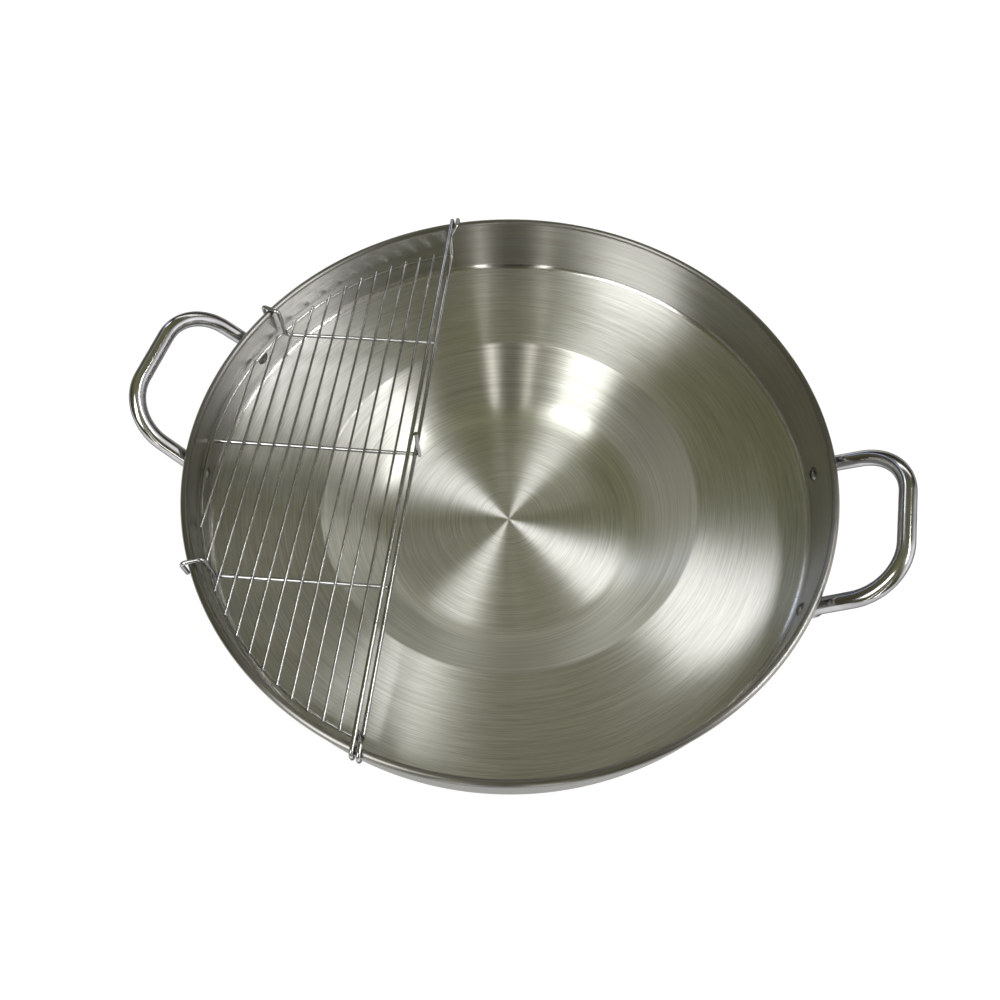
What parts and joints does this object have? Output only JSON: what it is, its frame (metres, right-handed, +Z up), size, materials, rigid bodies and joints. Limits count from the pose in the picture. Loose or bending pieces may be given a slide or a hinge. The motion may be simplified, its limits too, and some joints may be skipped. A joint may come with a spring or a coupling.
{
  "type": "concave comal with draining rack",
  "caption": "Spun steel comal with a deep well, sloping flange, upright wall and looped rod handles; food fries in the well and drains on a half-round wire rack hung on the rim.",
  "frame": {"origin": "on the table under the middle of the pan, where the well's flat bottom rests", "axes": "+Z up; +X runs through the middles of both handles, and the rack hangs on the -X side; +Y is the far side in the picture"},
  "size_m": [0.672, 0.5732, 0.168],
  "materials": {
    "pan_steel": "spun, with fine rings round the axis",
    "handle_steel": "polished",
    "rivet_steel": "tumbled satin",
    "rack_wire": "bright plated wire"
  },
  "bodies": {
    "pan": {"comal_pan": "pan_steel", "handle_right": "handle_steel", "handle_left": "handle_steel", "handle_rivets": "rivet_steel"},
    "rack": {"rack_top_rail": "rack_wire", "rack_lower_rail": "rack_wire", "rack_post": "rack_wire", "rack_arc": "rack_wire", "rack_cross_far": "rack_wire", "rack_cross_middle": "rack_wire", "rack_cross_near": "rack_wire", "rack_bar_01": "rack_wire", "rack_bar_02": "rack_wire", "rack_bar_03": "rack_wire", "rack_bar_04": "rack_wire", "rack_bar_05": "rack_wire", "rack_bar_06": "rack_wire", "rack_bar_07": "rack_wire", "rack_bar_08": "rack_wire", "rack_bar_09": "rack_wire", "rack_bar_10": "rack_wire", "rack_bar_11": "rack_wire", "rack_bar_12": "rack_wire"}
  },
  "joints": [
    {"name": "rack_lift", "type": "slide", "parent": "pan", "child": "rack", "axis": [0, 0, 1], "range_m": [0, 0.15]}
  ]
}
